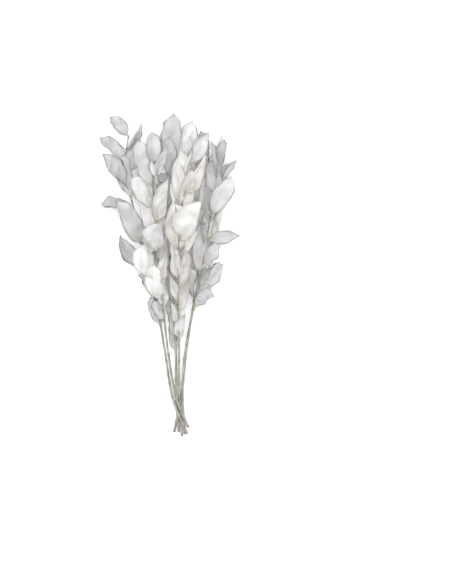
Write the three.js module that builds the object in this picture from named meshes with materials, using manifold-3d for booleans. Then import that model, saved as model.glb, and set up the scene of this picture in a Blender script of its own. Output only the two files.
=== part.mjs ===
// A gathered bunch of six preserved ruscus stems, laid down on a flat surface, in millimetres.
// +Y runs from the cut ends to the leaf tips, +X goes across the bunch and +Z is up.
// The origin is on the surface, under the middle of the bunch.

import * as THREE from 'three';
import { mergeVertices } from 'three/addons/utils/BufferGeometryUtils.js';
import Module from 'manifold-3d';

const wasm = await Module();
wasm.setup();

// Stalks
const stalkRadiusAtCut = 2.3;
const stalkRadiusAtTip = 0.9;
const stalkSides = 6;
const stalkRingStep = 24;

// Corners closer than this are one corner.
const weldDistance = 0.001;

// Leaf blades
const bladeThickness = 0.8;
const bladeSteps = 6;
const rootHalfWidth = 0.9;
const tipHalfWidth = 0.4;
const widestAt = 0.56; // share of the blade's length, from its root
const rootFullness = 1; // the higher these two are, the further the blade keeps its width that way
const tipFullness = 1.5;
const petioleShare = 0.16; // the root's turned part
const sidewaysLimit = 0.92; // how much of the room beside a stalk a blade may take
const bladeHalfWidthShare = 0.236; // half width over length, before the blade is rolled
const ripplesAlong = 6; // radians of ripple from root to tip

// Each stem keeps to the room that is nearer to its own stalk than to any other stalk.
const roomSoftness = 5;
const roomClearance = 0.95;

// What hangs lower than the surface is bent up to it and lies flat.
const surfaceSoftness = 8;
const surfacePress = 5; // how deep a bent blade would still reach
const surfaceBite = 0.2; // how much the surface takes off a pressed blade

// The distances along the bunch at which each stalk's place is set.
const heights = [-280, -218, -130, -25, 80, 185, 264];

// across and above are the places of a stalk at those heights, and cutEnd and tip are its ends.
// plane is the way its first leaf points, in degrees from +X towards +Z. topLeaf ends the stalk:
// its length, and how far it leans over to the side that comes next.
const stems = [
  {
    name: 'far_left_stem',
    across: [30.5, 5.4, -9.5, -27, -53, -78, -70],
    above: [11.8, 11.5, 15, 20, 23, 26, 26],
    cutEnd: -279,
    tip: 247,
    firstLeaf: -86,
    leaves: 15,
    plane: 178,
    topLeaf: { length: 50, lean: 46 },
    seed: 311,
  },
  {
    name: 'left_stem',
    across: [38.5, 11.7, -3.5, -14, -24, -30, -33],
    above: [12, 11.8, 20, 49, 53, 66, 60],
    cutEnd: -268,
    tip: 192,
    firstLeaf: -78,
    leaves: 15,
    plane: 150,
    topLeaf: { length: 62, lean: 8 },
    seed: 446,
  },
  {
    name: 'centre_stem',
    across: [15.7, 11.1, 10, 4, -2, 3, 3],
    above: [6.6, 6.7, 10, 19, 28, 31, 30],
    cutEnd: -276,
    tip: 190,
    firstLeaf: -134,
    leaves: 15,
    plane: 215,
    topLeaf: { length: 98, lean: 3 },
    seed: 1262,
  },
  {
    name: 'centre_right_stem',
    across: [21.1, 16.5, 16, 15, 18, 31, 40],
    above: [7.5, 7.1, 16, 39, 68, 60, 68],
    cutEnd: -284,
    tip: 208,
    firstLeaf: -112,
    leaves: 16,
    plane: 20,
    topLeaf: { length: 64, lean: 4 },
    seed: 263,
  },
  {
    name: 'right_stem',
    across: [6.5, 19.2, 29.5, 45, 58, 67, 73],
    above: [2.1, 1.85, 4.6, 13, 16, 18, 20],
    cutEnd: -277,
    tip: 208,
    firstLeaf: -62,
    leaves: 14,
    plane: 350,
    topLeaf: { length: 54, lean: 20 },
    seed: 1367,
  },
  {
    name: 'far_right_stem',
    across: [26.6, 22.1, 27.6, 49, 68, 86, 97],
    above: [7.4, 7.1, 14, 33, 43, 46, 44],
    cutEnd: -280,
    tip: 186,
    firstLeaf: -60,
    leaves: 13,
    plane: 10,
    topLeaf: { length: 56, lean: 4 },
    seed: 1180,
  },
];

// Leaf length and spread from the lowest leaf to the top of a stem.
const leafLength = { lowest: 48, middle: 84, highest: 68 };
const leafSpread = { lowest: 28, middle: 50, highest: 47 };
const tierTilt = 24; // every second pair of leaves is set this much higher, the others lower
const lightLift = 16; // how far all leaves turn round the stalk towards the light

// How far single leaves stray from the rule, each way: lengths in millimetres, angles in degrees.
const stray = {
  height: 4,
  azimuth: 36,
  lengthShare: 0.2,
  widthShare: 0.2,
  spread: 15,
  widest: 0.09,
  bend: 38,
  twist: 62,
  turn: 42,
  roll: 48,
  lopsided: 0.3,
  sweep: 0.11,
};
const bladeRoll = 44; // how far each edge of a blade turns up, in degrees
const bladeRipple = 18; // how far that turn waves from root to tip

// Where the leaves leave the middle of the bunch, which the finished stems are moved away from.
const middleX = -0.9;
const middleY = 0.5;

const radians = THREE.MathUtils.degToRad;
const mix = THREE.MathUtils.lerp;

// Numbers from 0 to 1, the same ones for the same seed.
function seededDraw(seed) {
  let state = seed;
  return () => {
    state = (Math.imul(state, 1664525) + 1013904223) >>> 0;
    return state / 4294967296;
  };
}

// A smooth line through the values at the heights, straight past both ends.
function valueAt(values, y) {
  const last = heights.length - 1;
  const slope = (i) => {
    const before = Math.max(i - 1, 0);
    const after = Math.min(i + 1, last);
    return (values[after] - values[before]) / (heights[after] - heights[before]);
  };
  if (y <= heights[0]) return values[0] + slope(0) * (y - heights[0]);
  if (y >= heights[last]) return values[last] + slope(last) * (y - heights[last]);
  const i = heights.findIndex((height) => y < height) - 1;
  const step = heights[i + 1] - heights[i];
  const t = (y - heights[i]) / step;
  return (
    values[i] * (1 + 2 * t) * (1 - t) ** 2 +
    slope(i) * step * t * (1 - t) ** 2 +
    values[i + 1] * t * t * (3 - 2 * t) +
    slope(i + 1) * step * t * t * (t - 1)
  );
}

function stalkPoint(stem, y) {
  return new THREE.Vector3(valueAt(stem.across, y), y, valueAt(stem.above, y));
}

function stalkRadius(stem, y) {
  const along = (y - stem.cutEnd) / (stem.tip - stem.cutEnd);
  return mix(stalkRadiusAtCut, stalkRadiusAtTip, along);
}

// How full the stem's room is at an offset from its stalk: 0 at the stalk, 1 at the walls.
function crowding(stem, y, x, z) {
  const own = stalkPoint(stem, y);
  let total = 0;
  for (const other of stems) {
    if (other === stem) continue;
    const towards = stalkPoint(other, y).sub(own);
    const distance = Math.hypot(towards.x, towards.z);
    const part = Math.max(0, (x * towards.x + z * towards.z) / distance);
    total += (part / (distance / 2 - roomClearance)) ** roomSoftness;
  }
  return total;
}

// Draws a point in towards its stalk, so that it stays inside the stem's own room.
function keepInRoom(stem, point) {
  const own = stalkPoint(stem, point.y);
  const x = point.x - own.x;
  const z = point.z - own.z;
  const drawnIn = (1 + crowding(stem, point.y, x, z)) ** (-1 / roomSoftness);
  point.x = own.x + x * drawnIn;
  point.z = own.z + z * drawnIn;
}

// Bends a point that would pass through the surface, and lays it flat on it.
function layOnSurface(stem, point) {
  const own = stalkPoint(stem, point.y);
  const drop = own.z - point.z;
  if (drop <= 0) return;
  const fullness = (drop / (own.z + surfacePress)) ** surfaceSoftness;
  const bent = own.z - drop * (1 + fullness) ** (-1 / surfaceSoftness);
  point.z = Math.max(bent, bladeThickness / 2 - surfaceBite);
}

// Half the blade's width at a share t of its length: a narrow root, a broad middle, a drawn-out tip.
function bladeHalfWidth(leaf, t) {
  const swell = Math.sin(Math.PI * t ** (Math.log(0.5) / Math.log(leaf.widest)));
  const end = mix(rootHalfWidth, tipHalfWidth, t);
  const fullness = mix(rootFullness, tipFullness, t);
  return end + (leaf.halfWidth - end) * (1 - (1 - Math.max(0, swell)) ** fullness);
}

// A point of the blade before its neighbours press on it: t runs from the root to the tip, v across.
function bladePoint(leaf, t, v) {
  const angle = leaf.spread + leaf.bend * t;
  const { bend, spread, length } = leaf;
  const forward = (length * (Math.sin(angle) - Math.sin(spread))) / bend;
  const outward = (length * (Math.cos(spread) - Math.cos(angle))) / bend;
  const along = leaf.stalk.clone().multiplyScalar(Math.cos(angle));
  along.addScaledVector(leaf.out, Math.sin(angle));
  const inner = leaf.stalk.clone().multiplyScalar(Math.sin(angle));
  inner.addScaledVector(leaf.out, -Math.cos(angle));
  const twist = leaf.twist * Math.min(1, t / petioleShare) + leaf.turn * t;
  const across = along.clone().cross(inner).multiplyScalar(Math.cos(twist));
  across.addScaledVector(inner, Math.sin(twist));
  const face = across.clone().cross(along);
  const halfWidth = bladeHalfWidth(leaf, t);
  const ripple = radians(bladeRipple) * Math.sin(leaf.ripplePhase + v + t * ripplesAlong);
  const roll = leaf.roll + ripple;
  const lift = (halfWidth * (1 - Math.cos(roll * v))) / roll;
  const rolledWidth = (halfWidth * Math.sin(roll * v)) / roll;
  const sideways = rolledWidth + halfWidth * leaf.lopsided * v * v + length * leaf.sweep * t * t;
  return leaf.root
    .clone()
    .addScaledVector(leaf.stalk, forward)
    .addScaledVector(leaf.out, outward)
    .addScaledVector(across, sideways)
    .addScaledVector(face, lift);
}

// The leaves of a stem, alternate, from the lowest up to the one that ends the stem.
function leavesOf(stem) {
  const draw = seededDraw(stem.seed);
  const either = (amount) => (draw() * 2 - 1) * amount;
  const leaves = [];
  for (let i = 0; i < stem.leaves; i += 1) {
    const up = i / (stem.leaves - 1);
    const isTop = i === stem.leaves - 1;
    const hump = Math.sin(Math.PI * up ** 0.8);
    const byHeight = (range) => mix(mix(range.lowest, range.highest, up), range.middle, hump);
    const y = mix(stem.firstLeaf, stem.tip - 3, up) + (isTop ? 0 : either(stray.height));
    const tier = i % 4 < 2 ? tierTilt : -tierTilt;
    const level = radians(stem.plane + (i % 2) * 180);
    const lift = radians(lightLift) * Math.cos(level);
    const azimuth = level + lift + radians(tier + either(stray.azimuth));
    let length = byHeight(leafLength) * (1 + either(stray.lengthShare));
    let lean = byHeight(leafSpread) + either(stray.spread);
    if (isTop) {
      length = stem.topLeaf.length;
      lean = stem.topLeaf.lean;
    }
    const stalk = stalkPoint(stem, y + 1).sub(stalkPoint(stem, y)).normalize();
    const out = new THREE.Vector3(Math.cos(azimuth), 0, Math.sin(azimuth));
    out.addScaledVector(stalk, -out.dot(stalk)).normalize();
    const middleY = y + length * 0.45;
    const room = crowding(stem, middleY, out.x, out.z) ** (-1 / roomSoftness);
    const mostSpread = Math.asin(Math.min(1, (sidewaysLimit * room) / length));
    const spread = Math.min(radians(lean), mostSpread);
    leaves.push({
      root: stalkPoint(stem, y),
      stalk,
      out,
      spread,
      length,
      halfWidth: length * bladeHalfWidthShare * (1 + either(stray.widthShare)),
      widest: widestAt + either(stray.widest),
      bend: radians(either(stray.bend)) + 0.001,
      twist: twistToLight(stalk, out, spread) + radians(either(stray.twist)),
      turn: radians(either(stray.turn)),
      roll: radians(bladeRoll + either(stray.roll)) + 0.001,
      lopsided: either(stray.lopsided),
      sweep: either(stray.sweep),
      ripplePhase: draw() * 6,
    });
  }
  return leaves;
}

// The turn at a leaf's root that brings the blade's face up towards the light.
function twistToLight(stalk, out, spread) {
  const inner = stalk.clone().multiplyScalar(Math.sin(spread));
  inner.addScaledVector(out, -Math.cos(spread));
  const crosswise = out.clone().cross(stalk);
  return Math.atan2(-crosswise.z, inner.z);
}

// Gives a sheet its thickness: both faces from the same triangles, joined round the edge.
function thickened(sheet, thickness) {
  sheet.computeVertexNormals();
  const middle = sheet.getAttribute('position');
  const normal = sheet.getAttribute('normal');
  const count = middle.count;
  const points = new Float32Array(count * 6);
  for (let i = 0; i < count; i += 1) {
    for (const [side, start] of [[0.5, 0], [-0.5, count]]) {
      const at = (start + i) * 3;
      points[at] = middle.getX(i) + normal.getX(i) * thickness * side;
      points[at + 1] = middle.getY(i) + normal.getY(i) * thickness * side;
      points[at + 2] = middle.getZ(i) + normal.getZ(i) * thickness * side;
    }
  }
  const faces = [];
  const edges = new Map();
  const index = sheet.index.array;
  for (let i = 0; i < index.length; i += 3) {
    const corners = [index[i], index[i + 1], index[i + 2]];
    faces.push(...corners, corners[0] + count, corners[2] + count, corners[1] + count);
    corners.forEach((from, k) => {
      const to = corners[(k + 1) % 3];
      edges.set(`${from} ${to}`, [from, to]);
    });
  }
  for (const [from, to] of edges.values()) {
    if (edges.has(`${to} ${from}`)) continue;
    faces.push(from, from + count, to + count, from, to + count, to);
  }
  const solid = new THREE.BufferGeometry();
  solid.setAttribute('position', new THREE.BufferAttribute(points, 3));
  solid.setIndex(faces);
  return solid;
}

function bladeGeometry(stem, leaf) {
  const sheet = new THREE.PlaneGeometry(2, 1, 2, bladeSteps);
  const places = sheet.getAttribute('position');
  for (let i = 0; i < places.count; i += 1) {
    const point = bladePoint(leaf, places.getY(i) + 0.5, places.getX(i));
    layOnSurface(stem, point);
    keepInRoom(stem, point);
    places.setXYZ(i, point.x, point.y, point.z);
  }
  return thickened(sheet, bladeThickness);
}

function stalkGeometry(stem) {
  const length = stem.tip - stem.cutEnd;
  const rings = Math.round(length / stalkRingStep);
  const tube = new THREE.CylinderGeometry(1, 1, 1, stalkSides, rings);
  tube.rotateY(Math.PI / stalkSides);
  const places = tube.getAttribute('position');
  for (let i = 0; i < places.count; i += 1) {
    const y = mix(stem.cutEnd, stem.tip, places.getY(i) + 0.5);
    const radius = stalkRadius(stem, y);
    const centre = stalkPoint(stem, y);
    places.setXYZ(i, centre.x + places.getX(i) * radius, y, centre.z + places.getZ(i) * radius);
  }
  return tube;
}

function asSolid(geometry) {
  const bare = geometry.clone();
  bare.deleteAttribute('normal');
  bare.deleteAttribute('uv');
  const merged = mergeVertices(bare, weldDistance);
  const vertProperties = new Float32Array(merged.getAttribute('position').array);
  const triVerts = new Uint32Array(merged.index.array);
  return new wasm.Manifold(new wasm.Mesh({ numProp: 3, vertProperties, triVerts }));
}

// Six times the volume between a triangle and the origin.
function cornerVolume(points, corners) {
  const [a, b, c] = corners.map((corner) => new THREE.Vector3().fromArray(points, corner * 3));
  return a.dot(b.cross(c));
}

// The corners of the outer shell alone, so that what crossing blades seal off is filled.
function outerShell(points, corners) {
  const linked = Array.from({ length: corners.length / 3 }, (_, i) => i);
  const shellOf = (triangle) => {
    let at = triangle;
    while (linked[at] !== at) at = linked[at];
    linked[triangle] = at;
    return at;
  };
  const edges = new Map();
  linked.forEach((_, i) => {
    for (let k = 0; k < 3; k += 1) {
      const ends = [corners[i * 3 + k], corners[i * 3 + ((k + 1) % 3)]];
      const edge = `${Math.min(...ends)} ${Math.max(...ends)}`;
      if (edges.has(edge)) linked[shellOf(i)] = shellOf(edges.get(edge));
      else edges.set(edge, i);
    }
  });
  const shells = new Map();
  linked.forEach((_, i) => {
    const triangle = Array.from(corners.slice(i * 3, i * 3 + 3));
    const shell = shellOf(i);
    if (!shells.has(shell)) shells.set(shell, { volume: 0, corners: [] });
    shells.get(shell).volume += cornerVolume(points, triangle);
    shells.get(shell).corners.push(...triangle);
  });
  const largestFirst = [...shells.values()].sort((a, b) => b.volume - a.volume);
  return largestFirst[0].corners;
}

function asGeometry(solid) {
  const { vertProperties, triVerts } = solid.getMesh();
  const geometry = new THREE.BufferGeometry();
  geometry.setAttribute('position', new THREE.BufferAttribute(vertProperties, 3));
  geometry.setIndex(outerShell(vertProperties, triVerts));
  geometry.computeVertexNormals();
  return geometry;
}

// Welding can pinch off a sliver where blades cross, so the outer shell is taken once more after it.
function asOneBody(solid) {
  return asGeometry(asSolid(asGeometry(solid)));
}

// The surface that the bunch lies on, as a block that flattens whatever is pressed on it.
function surfaceBlock() {
  const block = new THREE.BoxGeometry(800, 900, 40);
  block.translate(0, 0, -20);
  return asSolid(block);
}

const bleachedLeaf = new THREE.MeshStandardMaterial({
  color: 0xe6e5e4,
  roughness: 0.72,
  metalness: 0,
});

const bunch = new THREE.Group();
const surface = surfaceBlock();
for (const stem of stems) {
  let leafyStem = asSolid(stalkGeometry(stem));
  for (const leaf of leavesOf(stem)) {
    leafyStem = leafyStem.add(asSolid(bladeGeometry(stem, leaf)));
  }
  const mesh = new THREE.Mesh(asOneBody(leafyStem.subtract(surface)), bleachedLeaf.clone());
  mesh.geometry.translate(-middleX, -middleY, 0);
  mesh.name = stem.name;
  bunch.add(mesh);
}

export default bunch;
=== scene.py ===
import math

import bmesh
import bpy
from mathutils import Matrix, Vector, noise


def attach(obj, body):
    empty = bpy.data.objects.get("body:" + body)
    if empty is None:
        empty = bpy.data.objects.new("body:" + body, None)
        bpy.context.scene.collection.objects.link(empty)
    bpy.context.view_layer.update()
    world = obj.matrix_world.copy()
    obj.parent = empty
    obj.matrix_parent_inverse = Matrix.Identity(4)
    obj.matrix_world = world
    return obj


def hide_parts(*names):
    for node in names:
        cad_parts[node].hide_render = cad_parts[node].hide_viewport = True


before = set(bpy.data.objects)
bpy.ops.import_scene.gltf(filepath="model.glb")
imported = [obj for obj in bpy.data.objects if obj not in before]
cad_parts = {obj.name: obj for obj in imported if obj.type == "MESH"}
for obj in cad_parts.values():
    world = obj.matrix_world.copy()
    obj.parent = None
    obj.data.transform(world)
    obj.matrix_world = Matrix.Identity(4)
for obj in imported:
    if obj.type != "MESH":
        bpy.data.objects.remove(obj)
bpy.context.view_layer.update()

mm = 0.001

# How the bunch lies: the places of each stalk at these distances along the bunch.
# across and above are in millimetres; plane is the way the lowest leaf points, in degrees.
# warmth runs from 0, grey leaves, to 1, cream leaves.
heights = [-280, -218, -130, -25, 80, 185, 264]
stems = [
    {
        "node": "far_left_stem",
        "across": [30.5, 5.4, -9.5, -27, -53, -78, -70],
        "above": [11.8, 11.5, 15, 20, 23, 26, 26],
        "cutEnd": -279, "tip": 247, "firstLeaf": -86, "leaves": 15, "plane": 178,
        "topLeaf": {"length": 50, "lean": 46}, "seed": 311, "warmth": 0.12,
    },
    {
        "node": "left_stem",
        "across": [38.5, 11.7, -3.5, -14, -24, -30, -33],
        "above": [12, 11.8, 20, 49, 53, 66, 60],
        "cutEnd": -268, "tip": 192, "firstLeaf": -78, "leaves": 15, "plane": 150,
        "topLeaf": {"length": 62, "lean": 8}, "seed": 446, "warmth": 0.54,
    },
    {
        "node": "centre_stem",
        "across": [15.7, 11.1, 10, 4, -2, 3, 3],
        "above": [6.6, 6.7, 10, 19, 28, 31, 30],
        "cutEnd": -276, "tip": 190, "firstLeaf": -134, "leaves": 15, "plane": 215,
        "topLeaf": {"length": 98, "lean": 3}, "seed": 1262, "warmth": 0.05,
    },
    {
        "node": "centre_right_stem",
        "across": [21.1, 16.5, 16, 15, 18, 31, 40],
        "above": [7.5, 7.1, 16, 39, 68, 60, 68],
        "cutEnd": -284, "tip": 208, "firstLeaf": -112, "leaves": 16, "plane": 20,
        "topLeaf": {"length": 64, "lean": 4}, "seed": 263, "warmth": 0.84,
    },
    {
        "node": "right_stem",
        "across": [6.5, 19.2, 29.5, 45, 58, 67, 73],
        "above": [2.1, 1.85, 4.6, 13, 16, 18, 20],
        "cutEnd": -277, "tip": 208, "firstLeaf": -62, "leaves": 14, "plane": 350,
        "topLeaf": {"length": 54, "lean": 20}, "seed": 1367, "warmth": 0.74,
    },
    {
        "node": "far_right_stem",
        "across": [26.6, 22.1, 27.6, 49, 68, 86, 97],
        "above": [7.4, 7.1, 14, 33, 43, 46, 44],
        "cutEnd": -280, "tip": 186, "firstLeaf": -60, "leaves": 13, "plane": 10,
        "topLeaf": {"length": 56, "lean": 4}, "seed": 1180, "warmth": 0.36,
    },
]

# The rule that sets the leaves on a stem, shared with the solids.
leafRule = {
    "length": (48, 84, 68),  # lowest, middle and highest leaf
    "spread": (28, 50, 47),
    "humpLean": 0.8,  # below 1, the largest leaves are nearer to the lowest one than to the top
    "topGap": 3,
    "tierTilt": 24,
    "lightLift": 16,
    "reachShare": 0.45,  # where along a leaf its room is measured
    "openSpace": 9,  # in leaf lengths, where no other stem is near
    "sidewaysLimit": 0.92,
    "halfWidthShare": 0.236,
    "widestAt": 0.56,
    "rootFullness": 1.0,
    "tipFullness": 1.5,
    "rootHalfWidth": 0.9,
    "tipHalfWidth": 0.4,
    "petioleShare": 0.16,
    "roll": 44,
    "ripple": 18,
    "ripplesAlong": 6,
    "ripplePhases": 6,
    "notZero": 0.001,  # keeps a bend or a roll of no angle from dividing by zero
}
stray = {
    "height": 4, "azimuth": 36, "lengthShare": 0.2, "widthShare": 0.2, "spread": 15,
    "widest": 0.09, "bend": 38, "twist": 62, "turn": 42, "roll": 48,
    "lopsided": 0.3, "sweep": 0.11,
}
room = {"softness": 5, "clearance": 0.95}
surface = {"softness": 8, "press": 5}
drawRule = {"factor": 1664525, "step": 1013904223, "range": 4294967296}
middle = Vector((-0.9, 0.5, 0))  # where the rule leaves the middle of the bunch
sharpAngle = 50  # in degrees: edges that turn further stay sharp


def mix(a, b, t):
    return a + (b - a) * t


def bell(distance, reach):
    return math.exp(-(distance / reach) ** 2)


def seededDraw(seed):
    state = [seed]

    def draw():
        state[0] = (state[0] * drawRule["factor"] + drawRule["step"]) % drawRule["range"]
        return state[0] / drawRule["range"]

    return draw


def valueAt(values, y):  # a smooth curve through the values at the heights
    last = len(heights) - 1

    def slope(i):
        before, after = max(i - 1, 0), min(i + 1, last)
        return (values[after] - values[before]) / (heights[after] - heights[before])

    if y <= heights[0]:
        return values[0] + slope(0) * (y - heights[0])
    if y >= heights[last]:
        return values[last] + slope(last) * (y - heights[last])
    i = next(k for k, height in enumerate(heights) if y < height) - 1
    step = heights[i + 1] - heights[i]
    t = (y - heights[i]) / step
    return (
        values[i] * (1 + 2 * t) * (1 - t) ** 2
        + slope(i) * step * t * (1 - t) ** 2
        + values[i + 1] * t * t * (3 - 2 * t)
        + slope(i + 1) * step * t * t * (t - 1)
    )


def stalkPoint(stem, y):
    return Vector((valueAt(stem["across"], y), y, valueAt(stem["above"], y)))


def crowding(stem, y, x, z):
    own = stalkPoint(stem, y)
    total = 0
    for other in stems:
        if other is stem:
            continue
        towards = stalkPoint(other, y) - own
        distance = math.hypot(towards.x, towards.z)
        part = max(0, (x * towards.x + z * towards.z) / distance)
        total += (part / (distance / 2 - room["clearance"])) ** room["softness"]
    return total


def keepInRoom(stem, point):  # no stem's leaves reach into another's
    own = stalkPoint(stem, point.y)
    x, z = point.x - own.x, point.z - own.z
    drawnIn = (1 + crowding(stem, point.y, x, z)) ** (-1 / room["softness"])
    point.x = own.x + x * drawnIn
    point.z = own.z + z * drawnIn


def layOnSurface(stem, point, lowest):
    own = stalkPoint(stem, point.y)
    drop = own.z - point.z
    if drop <= 0:
        return
    fullness = (drop / (own.z + surface["press"])) ** surface["softness"]
    point.z = max(own.z - drop * (1 + fullness) ** (-1 / surface["softness"]), lowest)


def leavesOf(stem):
    draw = seededDraw(stem["seed"])

    def either(amount):
        return (draw() * 2 - 1) * amount

    leaves = []
    highest = stem["tip"] - leafRule["topGap"]
    for i in range(stem["leaves"]):
        up = i / (stem["leaves"] - 1)
        isTop = i == stem["leaves"] - 1
        hump = math.sin(math.pi * up ** leafRule["humpLean"])

        def byHeight(values):
            return mix(mix(values[0], values[2], up), values[1], hump)

        y = mix(stem["firstLeaf"], highest, up) + (0 if isTop else either(stray["height"]))
        tier = leafRule["tierTilt"] if i % 4 < 2 else -leafRule["tierTilt"]
        level = math.radians(stem["plane"] + (i % 2) * 180)
        lift = math.radians(leafRule["lightLift"]) * math.cos(level)
        azimuth = level + lift + math.radians(tier + either(stray["azimuth"]))
        length = byHeight(leafRule["length"]) * (1 + either(stray["lengthShare"]))
        lean = byHeight(leafRule["spread"]) + either(stray["spread"])
        if isTop:
            length, lean = stem["topLeaf"]["length"], stem["topLeaf"]["lean"]
        stalk = (stalkPoint(stem, y + 1) - stalkPoint(stem, y)).normalized()
        out = Vector((math.cos(azimuth), 0, math.sin(azimuth)))
        out = (out - stalk * out.dot(stalk)).normalized()
        crowded = crowding(stem, y + length * leafRule["reachShare"], out.x, out.z)
        space = length * leafRule["openSpace"]
        if crowded > 0:
            space = crowded ** (-1 / room["softness"])
        most = math.asin(min(1, leafRule["sidewaysLimit"] * space / length))
        spread = min(math.radians(lean), most)
        leaves.append({
            "root": stalkPoint(stem, y), "stalk": stalk, "out": out,
            "spread": spread, "length": length,
            "halfWidth": length * leafRule["halfWidthShare"] * (1 + either(stray["widthShare"])),
            "widest": leafRule["widestAt"] + either(stray["widest"]),
            "bend": math.radians(either(stray["bend"])) + leafRule["notZero"],
            "twist": twistToLight(stalk, out, spread) + math.radians(either(stray["twist"])),
            "turn": math.radians(either(stray["turn"])),
            "roll": math.radians(leafRule["roll"] + either(stray["roll"])) + leafRule["notZero"],
            "lopsided": either(stray["lopsided"]),
            "sweep": either(stray["sweep"]),
            "ripplePhase": draw() * leafRule["ripplePhases"],
            "up": up,
        })
    return leaves


def twistToLight(stalk, out, spread):
    inner = stalk * math.sin(spread) - out * math.cos(spread)
    return math.atan2(-out.cross(stalk).z, inner.z)


def bladeHalfWidth(leaf, t):
    swell = math.sin(math.pi * t ** (math.log(0.5) / math.log(leaf["widest"]))) if t > 0 else 0
    end = mix(leafRule["rootHalfWidth"], leafRule["tipHalfWidth"], t)
    fullness = mix(leafRule["rootFullness"], leafRule["tipFullness"], t)
    return end + (leaf["halfWidth"] - end) * (1 - (1 - max(0, swell)) ** fullness)


def bladePoint(leaf, t, v, extraLift, hook):  # t runs from root to tip, v from edge to edge
    bend, spread, length = leaf["bend"], leaf["spread"], leaf["length"]
    stalk, out = leaf["stalk"], leaf["out"]
    angle = spread + bend * t
    forward = length * (math.sin(angle) - math.sin(spread)) / bend
    outward = length * (math.cos(spread) - math.cos(angle)) / bend
    along = stalk * math.cos(angle) + out * math.sin(angle)
    inner = stalk * math.sin(angle) - out * math.cos(angle)
    twist = leaf["twist"] * min(1, t / leafRule["petioleShare"]) + leaf["turn"] * t
    across = along.cross(inner) * math.cos(twist) + inner * math.sin(twist)
    face = across.cross(along)
    halfWidth = bladeHalfWidth(leaf, t)
    wave = math.sin(leaf["ripplePhase"] + v + t * leafRule["ripplesAlong"])
    roll = leaf["roll"] + math.radians(leafRule["ripple"]) * wave
    lift = halfWidth * (1 - math.cos(roll * v)) / roll + extraLift
    sideways = halfWidth * (math.sin(roll * v) / roll + leaf["lopsided"] * v * v)
    sideways += length * (leaf["sweep"] * t * t + hook)
    return leaf["root"] + stalk * forward + out * outward + across * sideways + face * lift


# What the materials are made with
def grey(value):
    return (value, value, value, 1)


white = grey(1)


def newMaterial(name):
    material = bpy.data.materials.new(name)
    material.use_nodes = True
    return material, material.node_tree, material.node_tree.nodes["Principled BSDF"]


def plainMaterial(name, look):
    material, tree, shader = newMaterial(name)
    feed(tree, shader.inputs["Base Color"], look["colour"])
    feed(tree, shader.inputs["Roughness"], look["roughness"])
    return material


def feed(tree, socket, value):
    if isinstance(value, bpy.types.NodeSocket):
        tree.links.new(value, socket)
    else:
        socket.default_value = value


def attributeNode(tree, name):
    node = tree.nodes.new("ShaderNodeAttribute")
    node.attribute_name = name
    return node.outputs["Fac"]


def rampNode(tree, source, reach, first, last, between=()):
    node = tree.nodes.new("ShaderNodeValToRGB")
    elements = node.color_ramp.elements
    elements[0].position, elements[1].position = reach
    elements[0].color = first
    elements[1].color = last
    for place, colour in between:
        elements.new(place).color = colour
    feed(tree, node.inputs[0], source)
    return node.outputs[0]


def fadeNode(tree, source, reach, first, last):
    return rampNode(tree, source, reach, grey(first), grey(last))


def mathNode(tree, operation, first, second=0):
    node = tree.nodes.new("ShaderNodeMath")
    node.operation = operation
    feed(tree, node.inputs[0], first)
    feed(tree, node.inputs[1], second)
    return node.outputs[0]


def mixNode(tree, blendType, amount, first, second):
    node = tree.nodes.new("ShaderNodeMix")
    node.data_type = "RGBA"
    node.blend_type = blendType
    feed(tree, node.inputs[0], amount)
    feed(tree, node.inputs[6], first)
    feed(tree, node.inputs[7], second)
    return node.outputs[2]


def noiseNode(tree, place, look):
    node = tree.nodes.new("ShaderNodeTexNoise")
    for name, value in look.items():
        node.inputs[name].default_value = value
    feed(tree, node.inputs["Vector"], place)
    return node.outputs["Fac"]


def bumpNode(tree, height, look):
    node = tree.nodes.new("ShaderNodeBump")
    node.inputs["Strength"].default_value = look["strength"]
    node.inputs["Distance"].default_value = look["distance"]
    feed(tree, node.inputs["Height"], height)
    return node.outputs[0]


# Every reach says where a tone starts and ends: across or along a blade, in noise or in warmth.
bladeFinish = {
    "cool": (0.74, 0.74, 0.762, 1),
    "plain": (0.91, 0.908, 0.92, 1),
    "warm": (0.965, 0.96, 0.94, 1),
    "mottle": {"Scale": 42, "Detail": 4},
    "patch": (0.86, 0.855, 0.835, 1),
    "patchReach": (0.32, 0.6),
    "root": (0.74, 0.715, 0.61, 1),
    "rootShare": 0.85,
    "rootReach": (0.02, 0.32),
    # the two edge colours below are painted shade along the blade edges and at the tip, grey on cool
    # leaves and olive on warm ones
    "coolEdgeShade": (0.15, 0.14, 0.135, 1),
    "warmEdgeShade": (0.40, 0.385, 0.31, 1),
    "coolEdgeShare": 0.95,
    "warmEdgeShare": 0.7,
    "warmthReach": (0.1, 0.7),
    "edgeReach": (0.84, 0.96),
    "tipReach": (0.955, 1.0),
    "faintEdgeShare": 0.25,
    "faintEdgeReach": (0.4, 0.58),
    "rolledShadowShare": 0.62,  # painted shadow under the curled margin: a wider dark band along one side of each blade
    "rolledShadowReach": (0.0, 0.15),
    "veins": 11,
    "veinHeight": 0.13,
    "vein": (0.90, 0.895, 0.885, 1),
    "veinReach": (0.25, 0.75),
    "veinShare": 0.8,
    "streaks": {"Scale": 1.6, "Detail": 5},
    "streakStretch": 0.9,
    "ribReach": (0.0, 0.07),
    "bump": {"strength": 0.45, "distance": 0.0006},
    "roughness": 0.55,
    "lightThrough": 0.46,
}


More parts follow.
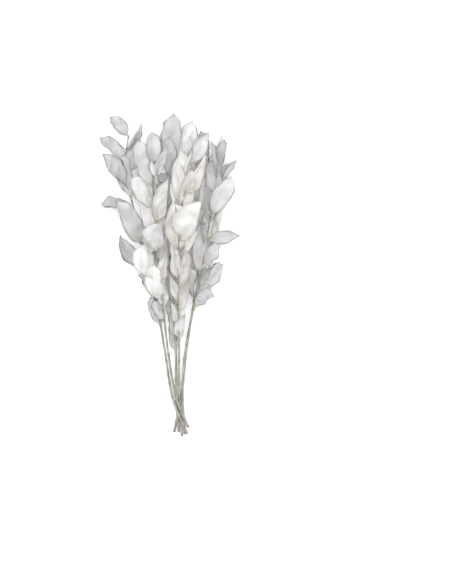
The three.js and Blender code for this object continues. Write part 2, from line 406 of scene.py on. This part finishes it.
def bladeEdgeShade(tree, across, along, toEdge, warmth, mottle):  # how much painted shade shows along the edges and at the tip
    finish = bladeFinish
    shadeAtEdge = fadeNode(tree, toEdge, finish["edgeReach"], 0, 1)
    shadeAtTip = fadeNode(tree, along, finish["tipReach"], 0, 1)
    # painted shadow under the curled margin along one side of the blade
    rolledShadow = fadeNode(tree, across, finish["rolledShadowReach"], finish["rolledShadowShare"], 0)
    amount = mathNode(tree, "MAXIMUM", mathNode(tree, "MAXIMUM", shadeAtEdge, shadeAtTip), rolledShadow)
    byWarmth = fadeNode(
        tree, warmth, finish["warmthReach"], finish["coolEdgeShare"], finish["warmEdgeShare"])
    amount = mathNode(tree, "MULTIPLY", amount, byWarmth)
    someFaint = fadeNode(tree, mottle, finish["faintEdgeReach"], finish["faintEdgeShare"], 1)
    return mathNode(tree, "MULTIPLY", amount, someFaint)


def bladeRelief(tree, across, along, toEdge, warmth):  # the veins, the streaks and the midrib
    stretch = tree.nodes.new("ShaderNodeCombineXYZ")
    feed(tree, stretch.inputs[0], mathNode(tree, "MULTIPLY", across, bladeFinish["veins"]))
    feed(tree, stretch.inputs[1], mathNode(tree, "MULTIPLY", along, bladeFinish["streakStretch"]))
    feed(tree, stretch.inputs[2], warmth)
    streaks = noiseNode(tree, stretch.outputs[0], bladeFinish["streaks"])
    turns = mathNode(tree, "MULTIPLY", across, bladeFinish["veins"] * 2 * math.pi)
    veins = mathNode(tree, "MULTIPLY", mathNode(tree, "SINE", turns), bladeFinish["veinHeight"])
    rib = fadeNode(tree, toEdge, bladeFinish["ribReach"], 1, 0)
    return mathNode(tree, "SUBTRACT", mathNode(tree, "ADD", veins, streaks), rib)


def bladeMaterial():
    material, tree, shader = newMaterial("bleachedBlade")
    finish = bladeFinish
    place = tree.nodes.new("ShaderNodeUVMap")
    place.uv_map = "blade"
    split = tree.nodes.new("ShaderNodeSeparateXYZ")
    feed(tree, split.inputs[0], place.outputs["UV"])
    across, along = split.outputs["X"], split.outputs["Y"]
    offMiddle = mathNode(tree, "ABSOLUTE", mathNode(tree, "SUBTRACT", across, 0.5))
    toEdge = mathNode(tree, "MULTIPLY", offMiddle, 2)
    warmth = attributeNode(tree, "warmth")
    spot = tree.nodes.new("ShaderNodeTexCoord").outputs["Object"]
    mottle = noiseNode(tree, spot, finish["mottle"])

    colour = rampNode(tree, warmth, (0, 1), finish["cool"], finish["warm"], [(0.5, finish["plain"])])
    patches = rampNode(tree, mottle, finish["patchReach"], finish["patch"], white)
    colour = mixNode(tree, "MULTIPLY", 1.0, colour, patches)
    nearRoot = fadeNode(tree, along, finish["rootReach"], finish["rootShare"], 0)
    colour = mixNode(tree, "MIX", nearRoot, colour, finish["root"])
    # the edges and the tip are painted darker: painted shade of the curled margins
    edgeShadeAmount = bladeEdgeShade(tree, across, along, toEdge, warmth, mottle)
    edge = rampNode(tree, warmth, finish["warmthReach"], finish["coolEdgeShade"], finish["warmEdgeShade"])
    colour = mixNode(tree, "MIX", edgeShadeAmount, colour, edge)
    relief = bladeRelief(tree, across, along, toEdge, warmth)
    veins = rampNode(tree, relief, finish["veinReach"], finish["vein"], white)
    colour = mixNode(tree, "MULTIPLY", finish["veinShare"], colour, veins)

    feed(tree, shader.inputs["Base Color"], colour)
    feed(tree, shader.inputs["Normal"], bumpNode(tree, relief, finish["bump"]))
    feed(tree, shader.inputs["Roughness"], finish["roughness"])
    through = tree.nodes.new("ShaderNodeBsdfTranslucent")
    feed(tree, through.inputs["Color"], colour)
    both = tree.nodes.new("ShaderNodeMixShader")
    feed(tree, both.inputs[0], finish["lightThrough"])
    feed(tree, both.inputs[1], shader.outputs[0])
    feed(tree, both.inputs[2], through.outputs[0])
    feed(tree, tree.nodes["Material Output"].inputs["Surface"], both.outputs[0])
    return material


stalkFinish = {
    # pale and dark streaks: partly the dried fibres' own tone, partly painted shade of the stalks'
    # shaded sides
    "pale": (0.385, 0.375, 0.335, 1),
    "dark": (0.095, 0.085, 0.065, 1),
    "toneReach": (0.36, 0.58),
    "cut": (0.13, 0.11, 0.09, 1),  # the cut end and the scars at the bare nodes
    "squeeze": (700, 4, 700),  # draws the fibre streaks, partly painted shade, out along the bunch
    "fibresAndShade": {"Scale": 1, "Detail": 6, "Roughness": 0.68},
    "bump": {"strength": 0.5, "distance": 0.0004},
    "roughness": 0.66,
}


def stalkMaterial():
    material, tree, shader = newMaterial("driedStalk")
    finish = stalkFinish
    squeeze = tree.nodes.new("ShaderNodeMapping")
    feed(tree, squeeze.inputs["Vector"], tree.nodes.new("ShaderNodeTexCoord").outputs["Object"])
    feed(tree, squeeze.inputs["Scale"], finish["squeeze"])
    fibresAndShade = noiseNode(tree, squeeze.outputs[0], finish["fibresAndShade"])
    # the dark streaks are partly painted shade
    tone = rampNode(tree, fibresAndShade, finish["toneReach"], finish["dark"], finish["pale"])
    colour = mixNode(tree, "MIX", attributeNode(tree, "cutEnd"), tone, finish["cut"])
    feed(tree, shader.inputs["Base Color"], colour)
    feed(tree, shader.inputs["Normal"], bumpNode(tree, fibresAndShade, finish["bump"]))
    feed(tree, shader.inputs["Roughness"], finish["roughness"])
    return material


def smoothFaces(bm):
    bmesh.ops.recalc_face_normals(bm, faces=bm.faces[:])
    for face in bm.faces:
        face.smooth = True
    for edge in bm.edges:
        edge.smooth = edge.calc_face_angle(0) < math.radians(sharpAngle)


def finishPiece(name, bm, material):
    mesh = bpy.data.meshes.new(name)
    bm.to_mesh(mesh)
    bm.free()
    mesh.materials.append(material)
    piece = bpy.data.objects.new(name, mesh)
    bpy.context.scene.collection.objects.link(piece)
    return piece


# The blades follow the rule's leaves, and this gives them their finer shape.
bladeShape = {
    "cellsAcross": 12,
    "cellsAlong": 30,
    "thickness": 0.5,
    "seedStep": 5000,
    "phases": 10,
    "edgeWave": 0.3,
    "wavesAlong": 4.5,
    "waveSides": 3,  # how unlike the waves of the two edges are
    "edgeCurl": 0.3,
    "curlRange": (-0.6, 1),
    "curlPower": 6,
    "crumple": 1.5,
    "crumplesAcross": 3,
    "crumplesAlong": 9,
    "crease": 6.5,
    "creasesAcross": 0.9,
    "creasesAlong": 3.2,
    "creaseSlant": 0.8,
    "creaseMiddle": 0.2,
    "flatAtRoot": 4,  # creases reach their full depth at a fourth of the length
    "ribDepth": 0.35,
    "ribWidth": 0.09,
    "notch": 0.17,
    "notchesAlong": 7,
    "notchSides": 5,
    "shoulders": ({"at": 0.22, "reach": 0.1, "extra": 0.16}, {"at": 0.87, "reach": 0.09, "extra": 0.3}),
    "hook": 0.045,
    "hookPower": 9,
    "toneSpread": 0.5,
    "coolEnds": 0.45,  # the lowest and the highest leaves of a stem are greyer
    "coolEndsPower": 3,
}


def bladeStrays(stem, leaf, draw):
    shape = bladeShape
    nearEnds = abs(2 * leaf["up"] - 1) ** shape["coolEndsPower"]
    tone = stem["warmth"] + (draw() - 0.5) * shape["toneSpread"] - shape["coolEnds"] * nearEnds
    return {
        "tone": min(1, max(0, tone)),
        "phase": draw() * shape["phases"],
        "curl": shape["edgeCurl"] * mix(*shape["curlRange"], draw()),
        "hookSide": 1 if draw() < 0.5 else -1,
    }


def bladeLift(leaf, own, t, v):
    shape, phase = bladeShape, own["phase"]
    body = math.sin(math.pi * t)
    side = 1 if v > 0 else -1
    waves = Vector((t * shape["wavesAlong"], side * shape["waveSides"] + phase, phase))
    wavy = noise.noise(waves) * (v * v * v * v)
    lift = wavy * leaf["halfWidth"] * shape["edgeWave"] * body
    lift += leaf["halfWidth"] * own["curl"] * v ** shape["curlPower"] * body
    crumples = Vector((v * shape["crumplesAcross"] + phase, t * shape["crumplesAlong"], 0))
    lift += noise.noise(crumples) * shape["crumple"] * body
    slanted = t * shape["creasesAlong"] - v * shape["creaseSlant"]
    creases = abs(noise.noise(Vector((v * shape["creasesAcross"] + phase, slanted, phase))))
    lift += shape["crease"] * (creases - shape["creaseMiddle"]) * min(1, t * shape["flatAtRoot"])
    return lift - shape["ribDepth"] * bell(v, shape["ribWidth"]) * body


def bladeWidening(own, t, v):
    shape, phase = bladeShape, own["phase"]
    side = 1 if v > 0 else -1
    notches = Vector((t * shape["notchesAlong"], side * shape["notchSides"] + phase, 2 * phase))
    fuller = sum(part["extra"] * bell(t - part["at"], part["reach"]) for part in shape["shoulders"])
    return 1 + fuller + shape["notch"] * noise.noise(notches) * (v * v * v * v)


def bladesPiece(stem, material):
    bm = bmesh.new()
    bm.loops.layers.uv.new("blade")
    warmth = bm.verts.layers.float.new("warmth")
    draw = seededDraw(stem["seed"] + bladeShape["seedStep"])
    thickness = bladeShape["thickness"]
    for leaf in leavesOf(stem):
        own = bladeStrays(stem, leaf, draw)
        sheet = bmesh.ops.create_grid(
            bm, x_segments=bladeShape["cellsAcross"], y_segments=bladeShape["cellsAlong"],
            size=1, calc_uvs=True)
        for vert in sheet["verts"]:
            v, t = vert.co.x, (vert.co.y + 1) / 2
            hook = bladeShape["hook"] * own["hookSide"] * t ** bladeShape["hookPower"]
            point = bladePoint(leaf, t, v * bladeWidening(own, t, v), bladeLift(leaf, own, t, v), hook)
            layOnSurface(stem, point, thickness / 2)
            keepInRoom(stem, point)
            vert.co = (point - middle) * mm
            vert[warmth] = own["tone"]
    bm.normal_update()
    for vert in bm.verts:
        vert.co += vert.normal * (thickness * mm / 2)
    undersides = bmesh.ops.extrude_face_region(bm, geom=bm.faces[:], use_keep_orig=True)["geom"]
    for vert in [part for part in undersides if isinstance(part, bmesh.types.BMVert)]:
        vert.co -= vert.normal * (thickness * mm)
    for vert in bm.verts:
        vert.co.z = max(vert.co.z, 0)
    smoothFaces(bm)
    return finishPiece(stem["node"].replace("_stem", "_blades"), bm, material)


stalkShape = {
    "radiusAtCut": 2.15,
    "radiusAtTip": 0.9,
    "sides": 12,
    "ringStep": 2,
    "cutInset": 0.3,
    "ridge": 0.05,
    "ridges": 6,
    "nodeSwell": 0.22,
    "nodeLength": 3.0,
    "nodeAboveRoot": 1.5,
    "seedStep": 9000,
    "bareNodeStep": 36,  # nodes on the leafless part, each some way into its step
    "bareNodeStart": 0.4,
    "bareNodeStray": 0.5,
    "scarBelowNode": 1,
    "scarLength": 1.3,
    "scarDarkness": 0.6,
    "darkEndLength": 2.5,
}


def stalkRadius(stem, y):
    along = (y - stem["cutEnd"]) / (stem["tip"] - stem["cutEnd"])
    return mix(stalkShape["radiusAtCut"], stalkShape["radiusAtTip"], along)


def bareNodesOf(stem, lowestRoot):
    draw = seededDraw(stem["seed"] + stalkShape["seedStep"])
    step = stalkShape["bareNodeStep"]
    start, spread = stalkShape["bareNodeStart"], stalkShape["bareNodeStray"]
    count = int((lowestRoot - stem["cutEnd"]) / step)
    return [stem["cutEnd"] + step * (k + start + spread * draw()) for k in range(count)]


def stalkPiece(stem, material):
    bm = bmesh.new()
    dark = bm.verts.layers.float.new("cutEnd")
    bmesh.ops.create_cone(
        bm, cap_ends=True, segments=stalkShape["sides"], radius1=1, radius2=1, depth=1)
    lengthwise = [edge for edge in bm.edges if abs(edge.verts[0].co.z - edge.verts[1].co.z) > 0.5]
    rings = round((stem["tip"] - stem["cutEnd"]) / stalkShape["ringStep"])
    bmesh.ops.subdivide_edges(bm, edges=lengthwise, cuts=rings, use_grid_fill=True)
    cutFace = min(bm.faces, key=lambda face: face.calc_center_median().z)
    bmesh.ops.inset_region(bm, faces=[cutFace], thickness=stalkShape["cutInset"], depth=0)
    roots = [leaf["root"].y for leaf in leavesOf(stem)]
    bareNodes = bareNodesOf(stem, min(roots))
    nodes = [y + stalkShape["nodeAboveRoot"] for y in roots + bareNodes]
    scars = [y - stalkShape["scarBelowNode"] for y in bareNodes]
    for vert in bm.verts:
        y = mix(stem["cutEnd"], stem["tip"], vert.co.z + 0.5)
        angle = math.atan2(vert.co.y, vert.co.x)
        swell = sum(bell(y - node, stalkShape["nodeLength"]) for node in nodes)
        ridge = stalkShape["ridge"] * math.cos(angle * stalkShape["ridges"])
        radius = stalkRadius(stem, y) * (1 + stalkShape["nodeSwell"] * swell + ridge)
        scar = max(bell(y - place, stalkShape["scarLength"]) for place in scars)
        darkEnd = math.exp(-(y - stem["cutEnd"]) / stalkShape["darkEndLength"])
        vert[dark] = max(darkEnd, stalkShape["scarDarkness"] * scar)
        centre = stalkPoint(stem, y)
        z = max(centre.z + vert.co.y * radius, 0)
        vert.co = (Vector((centre.x + vert.co.x * radius, y, z)) - middle) * mm
    bm.normal_update()
    smoothFaces(bm)
    return finishPiece(stem["node"].replace("_stem", "_stalk"), bm, material)


budScale = {
    "length": 5.5,
    "halfWidth": 1.3,
    "tipRadius": 0.15,
    "sides": 6,
    "flatness": 0.45,
    "lean": 14,
    "againstStalk": 0.9,  # how far out on the stalk's radius a scale stands
    "sunkBelow": 1.6,
    # partly the dry scales' own brown, partly painted shade in the gaps at the leaf roots
    "colour": (0.17, 0.145, 0.09, 1),
    "roughness": 0.8,
}


def scalesPiece(stem, material):  # the dry scale under each leaf, coloured dark enough to be painted shade in the gap at the leaf root
    bm = bmesh.new()
    lean = math.radians(budScale["lean"])
    for leaf in leavesOf(stem):
        root, stalk, out = leaf["root"], leaf["stalk"], leaf["out"]
        up = stalk * math.cos(lean) + out * math.sin(lean)
        face = out * math.cos(lean) - stalk * math.sin(lean)
        place = Matrix((up.cross(face) * -1, face, up)).transposed().to_4x4()
        offStalk = out * stalkRadius(stem, root.y) * budScale["againstStalk"]
        place.translation = root + offStalk - stalk * budScale["sunkBelow"]
        cone = bmesh.ops.create_cone(
            bm, cap_ends=True, segments=budScale["sides"], radius1=budScale["halfWidth"],
            radius2=budScale["tipRadius"], depth=budScale["length"])
        bmesh.ops.scale(bm, vec=(1, budScale["flatness"], 1), verts=cone["verts"])
        bmesh.ops.translate(bm, vec=(0, 0, budScale["length"] / 2), verts=cone["verts"])
        bmesh.ops.transform(bm, matrix=place, verts=cone["verts"])
    for vert in bm.verts:
        vert.co.z = max(vert.co.z, 0)
        vert.co = (vert.co - middle) * mm
    for face in bm.faces:
        face.smooth = True
    return finishPiece(stem["node"].replace("_stem", "_scales"), bm, material)


bladeSkin = bladeMaterial()
stalkSkin = stalkMaterial()
scaleAndGapShadeSkin = plainMaterial("budScale", budScale)
for stem in stems:
    blades = bladesPiece(stem, bladeSkin)
    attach(blades, "root")
    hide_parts(stem["node"])
    stalk = stalkPiece(stem, stalkSkin)
    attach(stalk, "root")
    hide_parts(stem["node"])
    scales = scalesPiece(stem, scaleAndGapShadeSkin)
    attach(scales, "root")
    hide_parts(stem["node"])
    counts = [len(piece.data.polygons) for piece in (blades, stalk, scales)]
    print("made", stem["node"], "with faces of blades, stalk and scales:", counts)


# The table, the light and the camera: the table and the lamps in metres, the camera in millimetres
tableLook = {"size": 8, "below": 0.0003, "colour": (0.94, 0.94, 0.945, 1), "roughness": 0.9}


def layTable():
    bm = bmesh.new()
    bmesh.ops.create_grid(bm, x_segments=1, y_segments=1, size=tableLook["size"] / 2)
    bmesh.ops.translate(bm, verts=bm.verts[:], vec=(0, 0, -tableLook["below"]))
    finishPiece("table", bm, plainMaterial("paleTable", tableLook))
    print("laid the table")


lampLook = {
    "key": {"place": (-1.1, 1.3, 2.2), "size": 1.8, "power": 18},
    "front": {"place": (0.15, 0.1, 2.8), "size": 0.9, "power": 36},
    "sky": 1.06,
}


def hangLamp(name, look):
    lamp = bpy.data.objects.new(name, bpy.data.lights.new(name, "AREA"))
    lamp.data.size = look["size"]
    lamp.data.energy = look["power"]
    lamp.location = look["place"]
    lamp.rotation_euler = (Vector((0, 0, 0)) - lamp.location).to_track_quat("-Z", "Y").to_euler()
    bpy.context.scene.collection.objects.link(lamp)


def lightTheScene():
    hangLamp("keyLamp", lampLook["key"])
    hangLamp("frontLamp", lampLook["front"])
    world = bpy.data.worlds.new("studio")
    world.use_nodes = True
    sky = world.node_tree.nodes["Background"]
    sky.inputs["Color"].default_value = white
    sky.inputs["Strength"].default_value = lampLook["sky"]
    bpy.context.scene.world = world
    print("lit the scene")


cameraLook = {
    "middleX": 99.9,
    "middleY": -29.5,
    "atHeight": 45,
    "frameHeight": 1023,
    "distance": 4000,
    "sensor": 36,
    "farthest": 50000,
}


def placeCamera():
    camera = bpy.data.objects.new("camera", bpy.data.cameras.new("camera"))
    camera.data.sensor_width = cameraLook["sensor"]
    camera.data.lens = cameraLook["sensor"] * cameraLook["distance"] / cameraLook["frameHeight"]
    camera.data.clip_end = cameraLook["farthest"] * mm
    above = cameraLook["atHeight"] + cameraLook["distance"]
    camera.location = Vector((cameraLook["middleX"], cameraLook["middleY"], above)) * mm
    bpy.context.scene.collection.objects.link(camera)
    bpy.context.scene.camera = camera
    print("placed the camera")


layTable()
lightTheScene()
placeCamera()
bpy.context.scene.view_settings.view_transform = "Standard"
